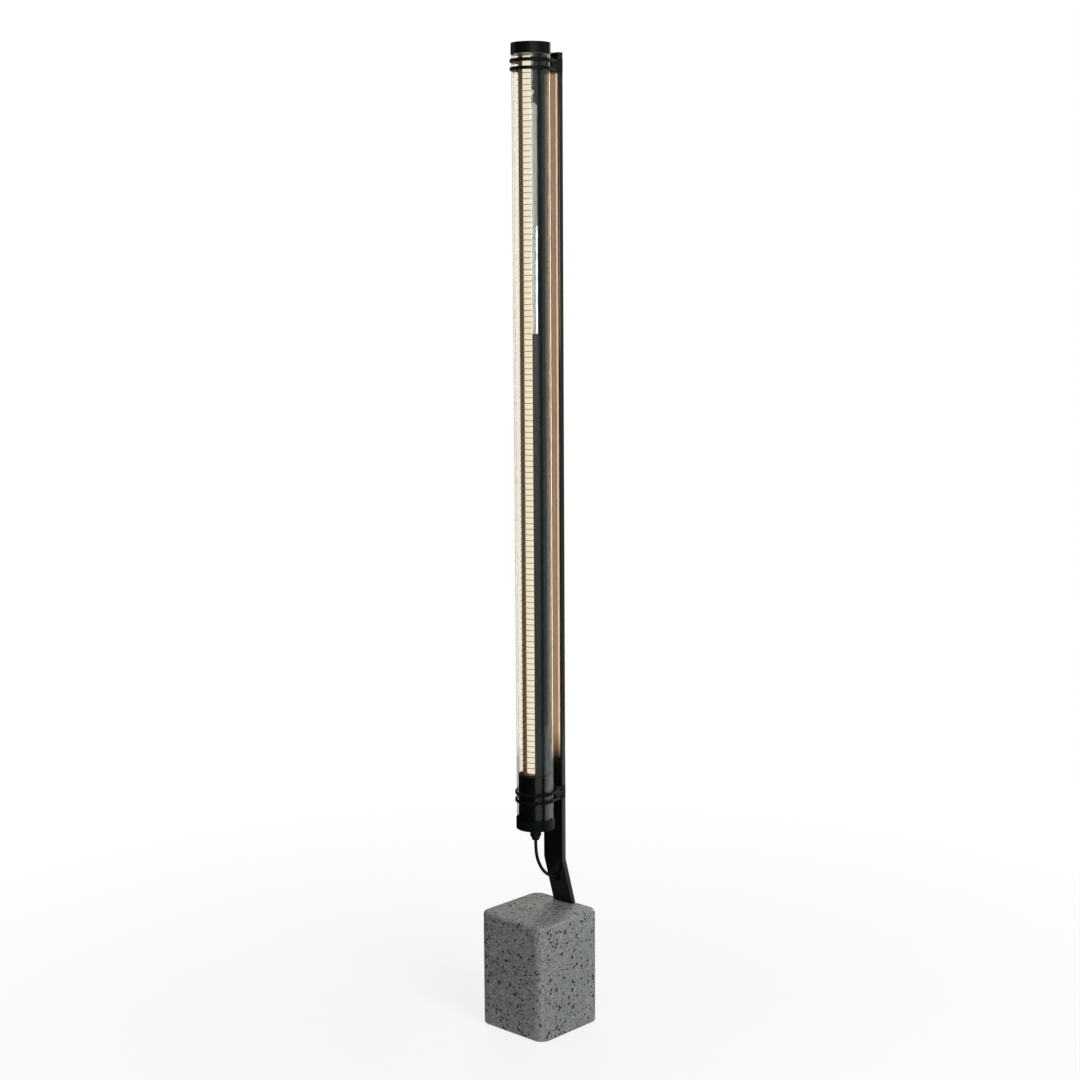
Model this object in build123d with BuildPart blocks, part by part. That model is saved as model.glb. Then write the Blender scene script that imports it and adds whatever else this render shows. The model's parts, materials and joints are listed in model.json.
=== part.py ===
from build123d import *
import math
import os

os.makedirs("parts", exist_ok=True)

# Driving dimensions in millimetres and degrees. Z is up, the tube's axis is X = Y = 0 and the mast is on +Y.

# Stone base
BASE_SIDE = 163.0
BASE_HEIGHT = 221.0
BASE_SETBACK = 9.0
BASE_CORNER_RADIUS = 22.0
BASE_TOP_RADIUS = 6.0
BASE_FOOT_RADIUS = 3.0
BASE_GROOVE_CLEARANCE = 0.3
PAD_THICKNESS = 2.0
PAD_INSET = 8.0

# Cord
LEAD_DIAMETER = 6.2
LEAD_CLEARANCE = 0.1
MAST_LEAD_CLEARANCE = 0.9
LEAD_DROP_1 = (0.0, 21.0)
LEAD_DROP_2 = (6.0, 44.0)
LEAD_DROP_3 = (20.0, 66.0)
LEAD_DROP_4 = (40.0, 81.0)
LEAD_ENTRY_SHARE = 0.45
LEAD_STUB = 5.0
MAST_CABLE_BEND = 7.0
MAST_CABLE_KINK_RADIUS = 40.0
RUN_SHARE = 0.45

# Mast
MAST_WIDTH = 48.0
MAST_WALL = 2.0
MAST_CORNER_RADIUS = 2.5
MAST_FOOT_Z = 24.0
MAST_BELOW_TUBE_TOP = 17.0
MAST_RECESS = 4.5
TUBE_MAST_GAP = 12.5
KINK_ABOVE_BASE = 1.5
KINK_RISE = 91.5
PLUG_FLANGE = 3.0
PLUG_DEPTH = 14.0
PLUG_ROUND = 1.0
PLUG_CLEARANCE = 0.1
OUTLET_DIAMETER = 6.6

# Screws through the mast
SCREW_DIAMETER = 6.0
SCREW_CLEARANCE = 0.1
SCREW_HEAD_DIAMETER = 10.5
SCREW_HEAD_HEIGHT = 3.3
SCREW_HEAD_ROUND = 1.6
SCREW_SOCKET = 4.0
SCREW_SOCKET_DEPTH = 2.0
SPACER_DIAMETER = 9.0
FOOT_SCREW_EDGE = 8.0
FOOT_SCREW_LOW = 36.0
FOOT_SCREW_SPACING = 105.0
FOOT_SCREW_GRIP = 24.0
INSERT_DIAMETER = 10.0
INSERT_LENGTH = 28.0
INSERT_CLEARANCE = 0.05
SADDLE_SCREW_SPREAD = 18.0
SADDLE_SCREW_GRIP = 8.0
SADDLE_SCREW_RELIEF = 0.6

# Grommet in the mast
GROMMET_WIDTH = 11.0
GROMMET_LENGTH = 14.0
GROMMET_LIP = 1.8
GROMMET_LIP_THICKNESS = 1.6
GROMMET_INNER_LIP = 1.0
GROMMET_DROP = 0.7
GROMMET_CLEARANCE = 0.05

# Glass tube and its caps
TUBE_LENGTH = 1444.0
TUBE_ABOVE_BASE = 164.0
GLASS_DIAMETER = 70.0
GLASS_WALL = 3.0
GLASS_END_GAP = 0.5
CAP_RIM = 1.3
CAP_SKIRT = 15.0
CAP_END_WALL = 5.0
CAP_ROUND = 1.5
CAP_GLASS_CLEARANCE = 0.2
CAP_GROOVE_WIDTH = 1.2
CAP_GROOVE_DEPTH = 0.6
CAP_GROOVE_FROM_END = 6.0
SPIGOT_CLEARANCE = 0.3
SPIGOT_WALL = 4.7
SPIGOT_LENGTH = 11.0
SEAL_THICKNESS = 2.6
SEAL_FROM_END_WALL = 5.0
SEAL_CLEARANCE = 0.05
BOSS_DIAMETER = 6.5
BOSS_MARGIN = 0.5
CAP_SCREW_COUNT = 3
CAP_SCREW_DIAMETER = 3.2
CAP_SCREW_HEAD = 6.0
CAP_SCREW_HEAD_HEIGHT = 2.2
CAP_SCREW_SOCKET = 3.0
CAP_SCREW_RECESS = 0.4
CAP_SCREW_GRIP = 8.0

# Straps and saddles
STRAP_HEIGHT = 6.0
STRAP_THICKNESS = 3.0
STRAP_ROUND = 1.2
STRAP_GAP = 8.5
STRAP_TUBE_CLEARANCE = 0.3
STRAP_BACK_CLEARANCE = 0.2
STRAP_CORNER_RADIUS = 4.0
GROOVE_CLEARANCE = 0.2
GROOVE_FLOOR_CLEARANCE = 0.1
SADDLE_LIP = 1.75
SADDLE_CHEEK = 2.3
SADDLE_CHEEK_DEPTH = 8.0
SADDLE_CLEARANCE = 0.1
SEAT_DEPTH = 7.0
UPPER_CLAMP_FROM_TOP = 38.5
LOWER_CLAMP_FROM_BOTTOM = 62.5

# Cable gland under the bottom cap
GLAND_HEX = 19.0
GLAND_HEX_HEIGHT = 7.0
GLAND_THREAD = 16.0
GLAND_THREAD_CLEARANCE = 0.1
GLAND_NOSE_THREAD = 14.0
GLAND_NOSE = 10.0
GLAND_NUT_HEIGHT = 17.0
GLAND_NUT_HEX_HEIGHT = 9.0
GLAND_NUT_TIP = 13.0
GLAND_NUT_FLOOR = 5.0
GLAND_NOSE_WALL = 1.0
LOCKNUT_HEX = 22.0
LOCKNUT_HEIGHT = 5.0

# Driver in the foot of the tube
DRIVER_HOUSING_HEIGHT = 84.0
DRIVER_HOUSING_WALL = 2.0
DRIVER_HOUSING_FLOOR = 3.0
DRIVER_HOUSING_CLEARANCE = 0.6
DRIVER_COVER_THICKNESS = 4.0
DRIVER_WIDTH = 36.0
DRIVER_DEPTH = 24.0
DRIVER_HEIGHT = 64.0
DRIVER_ROUND = 1.6
WIRE_DIAMETER = 1.0
WIRE_SPACING = 3.0
WIRE_HOLE = 1.6

# Light and its frame
TOP_DISC_THICKNESS = 3.5
CORE_SIDE = 12.0
CORE_BORE = 4.2
CORE_SCREW_DIAMETER = 4.0
CORE_SCREW_HEAD = 7.0
CORE_SCREW_HEAD_HEIGHT = 3.0
CORE_SCREW_GRIP = 12.0
STRIP_COUNT = 3
STRIP_FIRST_ANGLE = 90.0
STRIP_ARC = 180.0
STRIP_WIDTH = 10.0
STRIP_THICKNESS = 1.2
STRIP_END_GAP = 2.0
CHIP_SIDE = 3.5
CHIP_HEIGHT = 0.8
CHIP_PITCH = 20.0
DIFFUSER_DIAMETER = 32.0
DIFFUSER_WALL = 1.5
COLLAR_RIM = 1.5
COLLAR_HEIGHT = 4.0
COLLAR_FLOOR = 1.0
COLLAR_BORE = 22.0
COLLAR_CLEARANCE = 0.05
MESH_RADIUS = 24.0
MESH_WIRE = 1.4
MESH_WIRE_SIDES = 6
MESH_PITCH = 10.5
MESH_STRIP_ANGLE = 113.0
MESH_STRIP_ARC = 45.0
MESH_STRIP_THICKNESS = 1.0
MESH_STRIP_CLEARANCE = 0.3
SHIELD_THICKNESS = 1.5
SHIELD_HALF_ANGLE = 48.0

# Heights and distances that follow from the dimensions
CENTRE_MIN = (Align.CENTER, Align.CENTER, Align.MIN)
CENTRE_MAX = (Align.CENTER, Align.CENTER, Align.MAX)
base_top = PAD_THICKNESS + BASE_HEIGHT
base_back = BASE_SETBACK + BASE_SIDE / 2
tube_bottom = base_top + TUBE_ABOVE_BASE
tube_top = tube_bottom + TUBE_LENGTH
glass_radius = GLASS_DIAMETER / 2
glass_bore = glass_radius - GLASS_WALL
standoff = glass_radius + TUBE_MAST_GAP
cavity_depth = LEAD_DIAMETER + 2 * MAST_LEAD_CLEARANCE
cavity_width = MAST_WIDTH - 2 * MAST_WALL
mast_depth = cavity_depth + 2 * MAST_WALL
mast_axis = standoff + mast_depth / 2
mast_back = standoff + mast_depth
groove_depth = mast_depth + MAST_RECESS
foot_front = base_back - groove_depth
foot_axis = foot_front + mast_depth / 2
foot_back = foot_front + mast_depth
mast_top = tube_top - MAST_BELOW_TUBE_TOP
groove_width = MAST_WIDTH + 2 * BASE_GROOVE_CLEARANCE
kink_low = base_top + KINK_ABOVE_BASE
kink_high = kink_low + KINK_RISE
strap_centre = (STRAP_GAP + STRAP_HEIGHT) / 2
saddle_height = STRAP_GAP + 2 * STRAP_HEIGHT + 2 * SADDLE_LIP
saddle_half = MAST_WIDTH / 2 + SADDLE_CLEARANCE + SADDLE_CHEEK
clamp_heights = {
    "upper": tube_top - UPPER_CLAMP_FROM_TOP,
    "lower": tube_bottom + LOWER_CLAMP_FROM_BOTTOM,
}
spigot_radius = glass_bore - SPIGOT_CLEARANCE
spigot_bore = spigot_radius - SPIGOT_WALL
boss_circle = spigot_bore - BOSS_DIAMETER / 2 - BOSS_MARGIN
housing_bottom = tube_bottom + CAP_END_WALL + SPIGOT_LENGTH
housing_top = housing_bottom + DRIVER_HOUSING_HEIGHT
frame_bottom = housing_top + DRIVER_COVER_THICKNESS
disc_top = tube_top - CAP_END_WALL - SPIGOT_LENGTH
frame_top = disc_top - TOP_DISC_THICKNESS
frame_length = frame_top - frame_bottom
driver_bottom = housing_bottom + DRIVER_HOUSING_FLOOR
driver_top = driver_bottom + DRIVER_HEIGHT
gland_exit = tube_bottom - GLAND_HEX_HEIGHT - GLAND_NUT_HEIGHT
nut_top = tube_bottom - GLAND_HEX_HEIGHT
foot_screw_x = MAST_WIDTH / 2 - FOOT_SCREW_EDGE
foot_screw_z = MAST_FOOT_Z + FOOT_SCREW_LOW
foot_screw_places = [
    (side * foot_screw_x, foot_screw_z + step * FOOT_SCREW_SPACING)
    for side in (-1, 1)
    for step in (0, 1)
]
saddle_screw_places = [
    (side * SADDLE_SCREW_SPREAD / 2, height)
    for side in (-1, 1)
    for height in clamp_heights.values()
]


def save(builder, name):
    """Label a finished sub-part and write it as its own file."""
    builder.part.label = name
    export_step(builder.part, f"parts/{name}.step")


def bend_radii(points):
    """One radius for each inner point, so that neighbouring bends share the runs between them."""
    radii = []
    for before, corner, after in zip(points, points[1:], points[2:]):
        run_in = corner - before
        run_out = after - corner
        half_turn = math.radians(run_in.get_angle(run_out)) / 2
        radii.append(RUN_SHARE * min(run_in.length, run_out.length) / math.tan(half_turn))
    return radii


def rear_plane(distance):
    """Vertical plane at Y = distance that faces forward, with X and Z as its axes."""
    return Plane.XZ.offset(-distance)


def radial_plane(degrees):
    """Vertical plane through the tube's axis, with its X outward at an angle and its Y up."""
    angle = math.radians(degrees)
    return Plane(
        (0, 0, 0),
        x_dir=(math.cos(angle), math.sin(angle), 0),
        z_dir=(math.sin(angle), -math.cos(angle), 0),
    )


def strap_loop(grow):
    """Sketch the loop round the tube and the back of a saddle, grown outward from the strap's inner face."""
    corner_x = saddle_half - STRAP_THICKNESS - STRAP_CORNER_RADIUS
    corner_y = standoff - STRAP_BACK_CLEARANCE - STRAP_THICKNESS - STRAP_CORNER_RADIUS
    Circle(glass_radius + STRAP_TUBE_CLEARANCE + grow)
    with Locations((-corner_x, corner_y), (corner_x, corner_y)):
        Circle(STRAP_CORNER_RADIUS + grow)
    make_hull()


# Base block, with a groove down its back that the mast is let into
with BuildPart(Plane((0, BASE_SETBACK, PAD_THICKNESS))) as base_block:
    Box(BASE_SIDE, BASE_SIDE, BASE_HEIGHT, align=CENTRE_MIN)
    fillet(base_block.edges().filter_by(Axis.Z), BASE_CORNER_RADIUS)
    fillet(base_block.faces().sort_by(Axis.Z)[-1].edges(), BASE_TOP_RADIUS)
    fillet(base_block.faces().sort_by(Axis.Z)[0].edges(), BASE_FOOT_RADIUS)
    with BuildSketch(Plane.XY):
        with Locations((0, base_back)):
            Rectangle(groove_width, groove_depth, align=(Align.CENTER, Align.MAX))
    extrude(amount=base_top, mode=Mode.SUBTRACT)
    with BuildSketch(rear_plane(foot_front)):
        with Locations(*foot_screw_places):
            Circle(INSERT_DIAMETER / 2 + INSERT_CLEARANCE)
    extrude(amount=INSERT_LENGTH, mode=Mode.SUBTRACT)
save(base_block, "base_block")

# Rubber pad under the base, set back from its edges and from the groove
with BuildPart() as base_pad:
    pad_side = BASE_SIDE - 2 * PAD_INSET
    with BuildSketch(Plane((0, BASE_SETBACK, 0))):
        RectangleRounded(pad_side, pad_side, BASE_CORNER_RADIUS - PAD_INSET)
        with Locations((0, BASE_SIDE / 2)):
            Rectangle(
                groove_width + 2 * PAD_INSET,
                groove_depth + PAD_INSET,
                align=(Align.CENTER, Align.MAX),
                mode=Mode.SUBTRACT,
            )
    extrude(amount=PAD_THICKNESS)
save(base_pad, "base_pad")

# Threaded inserts in the floor of the groove
with BuildPart() as base_inserts:
    with BuildSketch(rear_plane(foot_front)):
        with Locations(*foot_screw_places):
            Circle(INSERT_DIAMETER / 2)
            Circle(SCREW_DIAMETER / 2 + SCREW_CLEARANCE, mode=Mode.SUBTRACT)
    extrude(amount=INSERT_LENGTH)
save(base_inserts, "base_inserts")

# Line of the mast, and the point where the cord turns down inside it
mast_foot_point = Vector(0, foot_axis, MAST_FOOT_Z)
mast_low_point = Vector(0, foot_axis, kink_low)
mast_high_point = Vector(0, mast_axis, kink_high)
mast_top_point = Vector(0, mast_axis, mast_top)
mast_line = [mast_foot_point, mast_low_point, mast_high_point, mast_top_point]
slant = (mast_low_point - mast_high_point).normalized()
inward = Vector(0, -slant.Z, slant.Y)
cable_corner = mast_high_point + (mast_low_point - mast_high_point) * LEAD_ENTRY_SHARE
lead_drops = [LEAD_DROP_1, LEAD_DROP_2, LEAD_DROP_3, LEAD_DROP_4]
lead_points = [Vector(0, 0, gland_exit)]
lead_points += [Vector(0, back, gland_exit - drop) for back, drop in lead_drops]
heading = (cable_corner - lead_points[-1]).normalized()
lead_end = cable_corner - heading * LEAD_STUB
lead_points.append(lead_end)
entry_point = cable_corner - heading * (mast_depth / 2 / heading.dot(inward))
grommet_plane = Plane(
    origin=entry_point + slant * GROMMET_DROP, x_dir=(1, 0, 0), z_dir=inward * -1
)

# Mast
with BuildPart() as mast:
    with BuildLine() as mast_path:
        Polyline(*mast_line)
    with BuildSketch(Plane(mast_foot_point)):
        RectangleRounded(MAST_WIDTH, mast_depth, MAST_CORNER_RADIUS)
    sweep(path=mast_path.wires()[0], transition=Transition.RIGHT)
    with BuildSketch(Plane(mast_foot_point)):
        RectangleRounded(cavity_width, cavity_depth, MAST_CORNER_RADIUS - MAST_WALL)
    sweep(path=mast_path.wires()[0], transition=Transition.RIGHT, mode=Mode.SUBTRACT)
    with BuildSketch(rear_plane(foot_axis)):
        with Locations(*foot_screw_places):
            Circle(SCREW_DIAMETER / 2 + SCREW_CLEARANCE)
    extrude(amount=mast_depth, both=True, mode=Mode.SUBTRACT)
    with BuildSketch(rear_plane(mast_axis)):
        with Locations(*saddle_screw_places):
            Circle(SCREW_DIAMETER / 2 + SCREW_CLEARANCE)
    extrude(amount=mast_depth, both=True, mode=Mode.SUBTRACT)
    with BuildSketch(grommet_plane):
        SlotOverall(GROMMET_LENGTH, GROMMET_WIDTH, rotation=90)
    extrude(amount=-(MAST_WALL + MAST_LEAD_CLEARANCE), mode=Mode.SUBTRACT)
save(mast, "mast")

# Plugs in the ends of the mast
with BuildPart() as mast_top_plug:
    with BuildSketch(Plane(mast_top_point)):
        RectangleRounded(MAST_WIDTH, mast_depth, MAST_CORNER_RADIUS)
    extrude(amount=PLUG_FLANGE)
    fillet(mast_top_plug.faces().sort_by(Axis.Z)[-1].edges(), PLUG_ROUND)
    with BuildSketch(Plane(mast_top_point)):
        Rectangle(cavity_width - 2 * PLUG_CLEARANCE, cavity_depth - 2 * PLUG_CLEARANCE)
        fillet(vertices(), MAST_CORNER_RADIUS - MAST_WALL)
    extrude(amount=-PLUG_DEPTH)
save(mast_top_plug, "mast_top_plug")

with BuildPart() as mast_foot_plug:
    with BuildSketch(Plane(mast_foot_point)):
        RectangleRounded(MAST_WIDTH, mast_depth, MAST_CORNER_RADIUS)
    extrude(amount=-PLUG_FLANGE)
    with BuildSketch(Plane(mast_foot_point)):
        Rectangle(cavity_width - 2 * PLUG_CLEARANCE, cavity_depth - 2 * PLUG_CLEARANCE)
        fillet(vertices(), MAST_CORNER_RADIUS - MAST_WALL)
    extrude(amount=PLUG_DEPTH)
    with BuildSketch(Plane(mast_foot_point)):
        Circle(OUTLET_DIAMETER / 2)
    extrude(amount=PLUG_DEPTH + PLUG_FLANGE, both=True, mode=Mode.SUBTRACT)
save(mast_foot_plug, "mast_foot_plug")


def button_screws(places, seat, length):
    """Button head screws whose heads sit on the plane Y = seat and whose shanks run forward."""
    with BuildPart() as screws:
        with BuildSketch(rear_plane(seat)):
            with Locations(*places):
                Circle(SCREW_HEAD_DIAMETER / 2)
        extrude(amount=-SCREW_HEAD_HEIGHT)
        fillet(screws.edges().group_by(Axis.Y)[-1], SCREW_HEAD_ROUND)
        with BuildSketch(rear_plane(seat + SCREW_HEAD_HEIGHT)):
            with Locations(*places):
                RegularPolygon(SCREW_SOCKET / 2, 6, major_radius=False)
        extrude(amount=SCREW_SOCKET_DEPTH, mode=Mode.SUBTRACT)
        with BuildSketch(rear_plane(seat)):
            with Locations(*places):
                Circle(SCREW_DIAMETER / 2)
        extrude(amount=length)
    return screws


# Screws that hold the mast to the base
foot_screws = button_screws(foot_screw_places, foot_back, mast_depth + FOOT_SCREW_GRIP)
save(foot_screws, "foot_screws")

# Screws that hold the saddles to the mast
saddle_screws = button_screws(saddle_screw_places, mast_back, mast_depth + SADDLE_SCREW_GRIP)
save(saddle_screws, "saddle_screws")

# Spacers that keep the hollow mast from being crushed by the screws
with BuildPart() as mast_spacers:
    for axis, places in ((foot_axis, foot_screw_places), (mast_axis, saddle_screw_places)):
        with BuildSketch(rear_plane(axis)):
            with Locations(*places):
                Circle(SPACER_DIAMETER / 2)
                Circle(SCREW_DIAMETER / 2 + SCREW_CLEARANCE, mode=Mode.SUBTRACT)
        extrude(amount=cavity_depth / 2, both=True)
save(mast_spacers, "mast_spacers")

# Saddles between tube and mast, each with two grooves for the straps
for level, height in clamp_heights.items():
    saddle_bottom = height - saddle_height / 2
    saddle_front = glass_radius - SEAT_DEPTH
    with BuildPart() as saddle:
        with BuildSketch(Plane.XY.offset(saddle_bottom)):
            with Locations((0, saddle_front)):
                Rectangle(
                    2 * saddle_half,
                    standoff + SADDLE_CHEEK_DEPTH - saddle_front,
                    align=(Align.CENTER, Align.MIN),
                )
            with Locations((0, standoff)):
                Rectangle(
                    MAST_WIDTH + 2 * SADDLE_CLEARANCE,
                    mast_depth,
                    align=(Align.CENTER, Align.MIN),
                    mode=Mode.SUBTRACT,
                )
            Circle(glass_radius + STRAP_TUBE_CLEARANCE, mode=Mode.SUBTRACT)
        extrude(amount=saddle_height)
        for side in (-1, 1):
            groove_bottom = height + side * strap_centre - STRAP_HEIGHT / 2 - GROOVE_CLEARANCE
            with BuildSketch(Plane.XY.offset(groove_bottom)):
                with Locations((0, standoff)):
                    Rectangle(
                        4 * saddle_half, standoff, align=(Align.CENTER, Align.MAX)
                    )
                with BuildSketch(mode=Mode.SUBTRACT):
                    strap_loop(-GROOVE_FLOOR_CLEARANCE)
            extrude(amount=STRAP_HEIGHT + 2 * GROOVE_CLEARANCE, mode=Mode.SUBTRACT)
        with BuildSketch(rear_plane(standoff)):
            with Locations(*[place for place in saddle_screw_places if place[1] == height]):
                Circle(SCREW_DIAMETER / 2 + SCREW_CLEARANCE)
        extrude(amount=SADDLE_SCREW_GRIP + SADDLE_SCREW_RELIEF, mode=Mode.SUBTRACT)
    save(saddle, f"{level}_saddle")

# Straps round the tube, held in the grooves of the saddles
for level, height in clamp_heights.items():
    for place, side in (("high", 1), ("low", -1)):
        strap_bottom = height + side * strap_centre - STRAP_HEIGHT / 2
        with BuildPart() as strap:
            with BuildSketch(Plane.XY.offset(strap_bottom)):
                strap_loop(STRAP_THICKNESS)
            extrude(amount=STRAP_HEIGHT)
            fillet(strap.edges().filter_by(Axis.Z, reverse=True), STRAP_ROUND)
            with BuildSketch(Plane.XY.offset(strap_bottom)):
                strap_loop(0)
            extrude(amount=STRAP_HEIGHT, mode=Mode.SUBTRACT)
        save(strap, f"{level}_strap_{place}")

# Lamp lead: the free cord from the gland to the mast
lead_radii = bend_radii(lead_points)
print("lamp lead bend radii", [round(radius, 1) for radius in lead_radii])
with BuildPart() as lamp_lead:
    with BuildLine() as lead_path:
        FilletPolyline(*lead_points, radius=lead_radii)
    with BuildSketch(Plane(lead_points[0], z_dir=lead_points[1] - lead_points[0])):
        Circle(LEAD_DIAMETER / 2)
    sweep(path=lead_path.wires()[0])
save(lamp_lead, "lamp_lead")
print("lamp lead length", round(lead_path.wires()[0].length, 1))

# Mast cable: the held cord inside the mast, from the grommet to the outlet in the foot plug
cable_points = [
    lead_end,
    cable_corner,
    mast_low_point,
    mast_foot_point + Vector(0, 0, PLUG_DEPTH),
]
cable_radii = [MAST_CABLE_BEND, MAST_CABLE_KINK_RADIUS]
print("mast cable bend radii", cable_radii)
with BuildPart() as mast_cable:
    with BuildLine() as cable_path:
        FilletPolyline(*cable_points, radius=cable_radii)
    with BuildSketch(Plane(lead_end, z_dir=heading)):
        Circle(LEAD_DIAMETER / 2)
    sweep(path=cable_path.wires()[0])
save(mast_cable, "mast_cable")

# Grommet round the cord where it enters the mast
with BuildPart() as lead_grommet:
    with BuildSketch(grommet_plane):
        SlotOverall(
            GROMMET_LENGTH - 2 * GROMMET_CLEARANCE,
            GROMMET_WIDTH - 2 * GROMMET_CLEARANCE,
            rotation=90,
        )
    extrude(amount=-MAST_WALL)
    with BuildSketch(grommet_plane):
        SlotOverall(GROMMET_LENGTH + 2 * GROMMET_LIP, GROMMET_WIDTH + 2 * GROMMET_LIP, rotation=90)
    extrude(amount=GROMMET_LIP_THICKNESS)
    with BuildSketch(grommet_plane.offset(-MAST_WALL)):
        SlotOverall(GROMMET_LENGTH + GROMMET_LIP, GROMMET_WIDTH + GROMMET_LIP, rotation=90)
    extrude(amount=-GROMMET_INNER_LIP)
    with BuildLine() as bore_path:
        FilletPolyline(lead_points[-2], cable_corner, mast_low_point, radius=[MAST_CABLE_BEND])
    with BuildSketch(Plane(lead_points[-2], z_dir=heading)):
        Circle(LEAD_DIAMETER / 2 + LEAD_CLEARANCE)
    sweep(path=bore_path.wires()[0], mode=Mode.SUBTRACT)
save(lead_grommet, "lead_grommet")

# Glass tube
glass_bottom = tube_bottom + CAP_END_WALL + GLASS_END_GAP
glass_length = TUBE_LENGTH - 2 * (CAP_END_WALL + GLASS_END_GAP)
with BuildPart(Plane.XY.offset(glass_bottom)) as glass_tube:
    Cylinder(glass_radius, glass_length, align=CENTRE_MIN)
    Cylinder(glass_bore, glass_length, align=CENTRE_MIN, mode=Mode.SUBTRACT)
save(glass_tube, "glass_tube")

# End caps, each with a skirt outside the glass and a grooved spigot inside it
cap_radius = glass_radius + CAP_GLASS_CLEARANCE + CAP_RIM
skirt_bore = glass_radius + CAP_GLASS_CLEARANCE
seal_groove_radius = glass_bore - SEAL_THICKNESS - SEAL_CLEARANCE
seal_low = CAP_END_WALL + SEAL_FROM_END_WALL
seal_high = seal_low + SEAL_THICKNESS + 2 * SEAL_CLEARANCE
groove_low = CAP_GROOVE_FROM_END
groove_high = groove_low + CAP_GROOVE_WIDTH
groove_radius = cap_radius - CAP_GROOVE_DEPTH
cap_profile = [
    (0, 0),
    (cap_radius, 0),
    (cap_radius, groove_low),
    (groove_radius, groove_low),
    (groove_radius, groove_high),
    (cap_radius, groove_high),
    (cap_radius, CAP_END_WALL + CAP_SKIRT),
    (skirt_bore, CAP_END_WALL + CAP_SKIRT),
    (skirt_bore, CAP_END_WALL),
    (spigot_radius, CAP_END_WALL),
    (spigot_radius, seal_low),
    (seal_groove_radius, seal_low),
    (seal_groove_radius, seal_high),
    (spigot_radius, seal_high),
    (spigot_radius, CAP_END_WALL + SPIGOT_LENGTH),
    (spigot_bore, CAP_END_WALL + SPIGOT_LENGTH),
    (spigot_bore, CAP_END_WALL),
    (0, CAP_END_WALL),
]
cap_planes = {
    "bottom": Plane((0, 0, tube_bottom)),
    "top": Plane((0, 0, tube_top), x_dir=(1, 0, 0), z_dir=(0, 0, -1)),
}
head_recess = CAP_SCREW_HEAD_HEIGHT + CAP_SCREW_RECESS
for end, plane in cap_planes.items():
    into_tube = plane.z_dir.Z
    with BuildPart() as cap:
        with BuildSketch(Plane.XZ):
            with BuildLine():
                Polyline(*[(r, plane.origin.Z + into_tube * h) for r, h in cap_profile], close=True)
            make_face()
        revolve(axis=Axis.Z)
        end_edge = cap.edges().filter_by(GeomType.CIRCLE).group_by(Axis.Z)[0 if into_tube > 0 else -1]
        fillet(end_edge, CAP_ROUND)
        with BuildSketch(plane):
            with PolarLocations(boss_circle, CAP_SCREW_COUNT):
                Circle(CAP_SCREW_HEAD / 2 + SCREW_CLEARANCE)
        extrude(amount=head_recess, mode=Mode.SUBTRACT)
        with BuildSketch(plane):
            with PolarLocations(boss_circle, CAP_SCREW_COUNT):
                Circle(CAP_SCREW_DIAMETER / 2 + SCREW_CLEARANCE)
            if end == "bottom":
                Circle(GLAND_THREAD / 2 + GLAND_THREAD_CLEARANCE)
        extrude(amount=CAP_END_WALL, mode=Mode.SUBTRACT)
    save(cap, f"{end}_cap")

# Seals between the spigots and the glass
with BuildPart() as cap_seals:
    seal_circle = seal_groove_radius + SEAL_CLEARANCE / 2 + SEAL_THICKNESS / 2
    with BuildSketch(Plane.XZ):
        for plane in cap_planes.values():
            seal_height = plane.origin.Z + plane.z_dir.Z * (seal_low + seal_high) / 2
            with Locations((seal_circle, seal_height)):
                Circle(SEAL_THICKNESS / 2)
    revolve(axis=Axis.Z)
save(cap_seals, "cap_seals")

# Screws that hold the caps to the inner frame
with BuildPart() as cap_screws:
    for plane in cap_planes.values():
        with BuildSketch(plane.offset(CAP_SCREW_RECESS)):
            with PolarLocations(boss_circle, CAP_SCREW_COUNT):
                Circle(CAP_SCREW_HEAD / 2)
                RegularPolygon(CAP_SCREW_SOCKET / 2, 6, mode=Mode.SUBTRACT)
        extrude(amount=CAP_SCREW_HEAD_HEIGHT / 2)
        with BuildSketch(plane.offset(CAP_SCREW_RECESS + CAP_SCREW_HEAD_HEIGHT / 2)):
            with PolarLocations(boss_circle, CAP_SCREW_COUNT):
                Circle(CAP_SCREW_HEAD / 2)
        extrude(amount=CAP_SCREW_HEAD_HEIGHT / 2)
        with BuildSketch(plane.offset(head_recess)):
            with PolarLocations(boss_circle, CAP_SCREW_COUNT):
                Circle(CAP_SCREW_DIAMETER / 2)
        extrude(amount=CAP_END_WALL - head_recess + CAP_SCREW_GRIP)
save(cap_screws, "cap_screws")

# Cable gland
nose_bore = GLAND_NOSE_THREAD / 2 - GLAND_NOSE_WALL
seal_bore = LEAD_DIAMETER / 2 + LEAD_CLEARANCE
gland_reach = GLAND_HEX_HEIGHT + CAP_END_WALL + LOCKNUT_HEIGHT
with BuildPart(Plane.XY.offset(nut_top)) as gland_body:
    with BuildSketch(Plane.XY.offset(nut_top)):
        RegularPolygon(GLAND_HEX / 2, 6, major_radius=False)
    extrude(amount=GLAND_HEX_HEIGHT)
    Cylinder(GLAND_THREAD / 2, gland_reach, align=CENTRE_MIN)
    Cylinder(GLAND_NOSE_THREAD / 2, GLAND_NOSE, align=CENTRE_MAX)
    Cylinder(nose_bore, GLAND_NOSE, align=CENTRE_MAX, mode=Mode.SUBTRACT)
    Cylinder(seal_bore, 2 * gland_reach, mode=Mode.SUBTRACT)
save(gland_body, "gland_body")

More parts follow.
